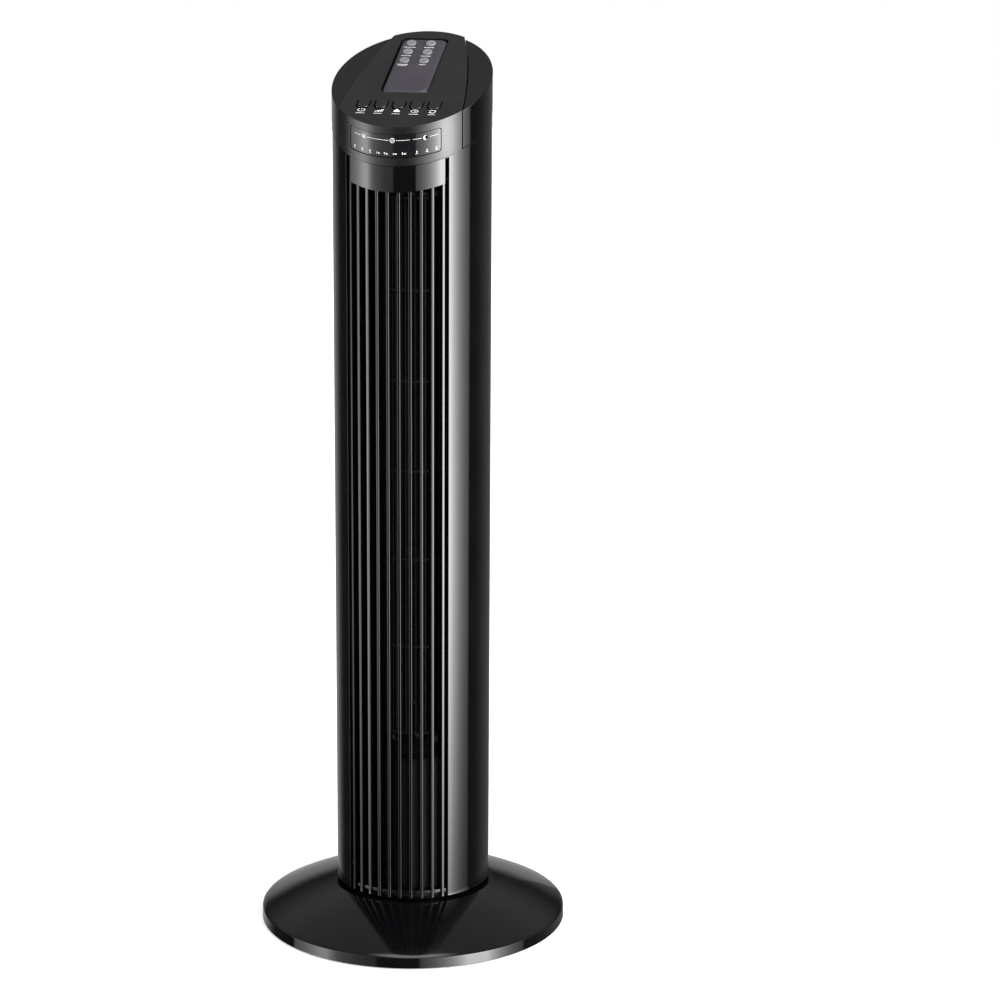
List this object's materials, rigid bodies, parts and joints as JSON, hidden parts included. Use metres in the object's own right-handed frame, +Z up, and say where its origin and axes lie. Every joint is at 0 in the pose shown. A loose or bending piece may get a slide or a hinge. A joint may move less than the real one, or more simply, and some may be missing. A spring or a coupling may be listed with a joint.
{
  "type": "tower fan",
  "caption": "Slim black oscillating tower fan: slatted round column with an oblique control head, stowed remote control and round domed base.",
  "frame": {"origin": "middle of the base, on the floor", "axes": "+Z up along the column, front of the grille and display towards -Y, +X to the fan's left-hand side as it faces a person in front (right in a front view)"},
  "size_m": [0.2528, 0.2528, 0.73],
  "materials": {
    "gloss_shell": "high gloss black",
    "panel": "satin black",
    "window": "polished black with printed marks",
    "inner_plastic": "matte black",
    "rubber": "matte",
    "steel": "bright",
    "ballast": "rough",
    "nylon": "natural white",
    "motor_metal": "pressed",
    "core": "laminated",
    "copper": "enamelled winding",
    "bronze": "sintered",
    "circuit": "solder mask",
    "remote_case": "fine satin",
    "remote_keys": "soft matte"
  },
  "bodies": {
    "base": {"base_cover": "gloss_shell", "base_plate": "inner_plastic", "base_weight": "ballast", "base_feet": "rubber", "base_screws": "steel", "pivot_post": "nylon", "post_screws": "steel", "slide_ring": "nylon", "thrust_washer": "steel", "fixed_gear": "nylon", "post_nut": "steel"},
    "tower": {"swivel_base": "inner_plastic", "front_grille": "gloss_shell", "rear_housing": "gloss_shell", "housing_screws": "steel", "cord_gland": "rubber", "osc_motor": "motor_metal", "osc_motor_screws": "steel", "lower_bulkhead": "inner_plastic", "motor_bell_bottom": "motor_metal", "motor_stator": "core", "motor_windings": "copper", "motor_bell_top": "motor_metal", "motor_mounts": "rubber", "motor_screws": "steel", "motor_shroud": "inner_plastic", "duct_scroll": "inner_plastic", "duct_tongue": "inner_plastic", "top_bulkhead": "inner_plastic", "upper_bush": "bronze", "head_shell": "gloss_shell", "control_panel": "panel", "display_lens": "window", "display_board": "circuit", "control_board": "circuit", "tact_switches": "inner_plastic", "power_board": "circuit", "power_components": "inner_plastic", "motor_lead": "rubber"},
    "blower": {"blower_wheel": "inner_plastic", "wheel_pin": "steel", "motor_shaft": "steel", "motor_rotor": "steel"},
    "drive_pinion": {"osc_pinion": "nylon"},
    "remote": {"remote_top": "remote_case", "remote_bottom": "remote_case", "remote_board": "circuit", "coin_cell": "steel", "battery_tray": "remote_case"},
    "button_power": {"button_power": "panel"},
    "button_speed": {"button_speed": "panel"},
    "button_mode": {"button_mode": "panel"},
    "button_timer": {"button_timer": "panel"},
    "button_swing": {"button_swing": "panel"},
    "remote_key_1": {"remote_key_1": "remote_keys"},
    "remote_key_2": {"remote_key_2": "remote_keys"},
    "remote_key_3": {"remote_key_3": "remote_keys"},
    "remote_key_4": {"remote_key_4": "remote_keys"},
    "remote_key_5": {"remote_key_5": "remote_keys"},
    "remote_key_6": {"remote_key_6": "remote_keys"}
  },
  "joints": [
    {"name": "column_swing", "type": "hinge", "parent": "base", "child": "tower", "pos_m": [0, 0, 0.045], "axis": [0, 0, 1], "range_deg": [-35, 35]},
    {"name": "blower_spin", "type": "hinge", "parent": "tower", "child": "blower", "pos_m": [0.002, 0.008, 0.166], "axis": [0, 0, 1], "continuous": true},
    {"name": "pinion_spin", "type": "hinge", "parent": "tower", "child": "drive_pinion", "pos_m": [0.0376, 0, 0.06], "axis": [0, 0, 1], "range_deg": [-142, 142]},
    {"name": "remote_lift", "type": "slide", "parent": "tower", "child": "remote", "axis": [0, -0.4478, 0.8942], "range_m": [0, 0.03]},
    {"name": "button_power_press", "type": "hinge", "parent": "tower", "child": "button_power", "pos_m": [-0.0304, -0.02955, 0.68202], "axis": [1, 0, 0], "range_deg": [0, 5], "stiffness_Nm_per_rad": 0.1, "springref_deg": -2.86},
    {"name": "button_speed_press", "type": "hinge", "parent": "tower", "child": "button_speed", "pos_m": [-0.0162, -0.02955, 0.68202], "axis": [1, 0, 0], "range_deg": [0, 5], "stiffness_Nm_per_rad": 0.1, "springref_deg": -2.86},
    {"name": "button_mode_press", "type": "hinge", "parent": "tower", "child": "button_mode", "pos_m": [-0.002, -0.02955, 0.68202], "axis": [1, 0, 0], "range_deg": [0, 5], "stiffness_Nm_per_rad": 0.1, "springref_deg": -2.86},
    {"name": "button_timer_press", "type": "hinge", "parent": "tower", "child": "button_timer", "pos_m": [0.0122, -0.02955, 0.68202], "axis": [1, 0, 0], "range_deg": [0, 5], "stiffness_Nm_per_rad": 0.1, "springref_deg": -2.86},
    {"name": "button_swing_press", "type": "hinge", "parent": "tower", "child": "button_swing", "pos_m": [0.0264, -0.02955, 0.68202], "axis": [1, 0, 0], "range_deg": [0, 5], "stiffness_Nm_per_rad": 0.1, "springref_deg": -2.86},
    {"name": "remote_key_1_press", "type": "slide", "parent": "remote", "child": "remote_key_1", "axis": [0, 0.4478, -0.8942], "range_m": [0, 0.0004], "stiffness_N_per_m": 300, "springref_m": -0.001},
    {"name": "remote_key_2_press", "type": "slide", "parent": "remote", "child": "remote_key_2", "axis": [0, 0.4478, -0.8942], "range_m": [0, 0.0004], "stiffness_N_per_m": 300, "springref_m": -0.001},
    {"name": "remote_key_3_press", "type": "slide", "parent": "remote", "child": "remote_key_3", "axis": [0, 0.4478, -0.8942], "range_m": [0, 0.0004], "stiffness_N_per_m": 300, "springref_m": -0.001},
    {"name": "remote_key_4_press", "type": "slide", "parent": "remote", "child": "remote_key_4", "axis": [0, 0.4478, -0.8942], "range_m": [0, 0.0004], "stiffness_N_per_m": 300, "springref_m": -0.001},
    {"name": "remote_key_5_press", "type": "slide", "parent": "remote", "child": "remote_key_5", "axis": [0, 0.4478, -0.8942], "range_m": [0, 0.0004], "stiffness_N_per_m": 300, "springref_m": -0.001},
    {"name": "remote_key_6_press", "type": "slide", "parent": "remote", "child": "remote_key_6", "axis": [0, 0.4478, -0.8942], "range_m": [0, 0.0004], "stiffness_N_per_m": 300, "springref_m": -0.001}
  ],
  "couplings": [
    {"joint": "pinion_spin", "follows": "column_swing", "ratio": 4}
  ]
}
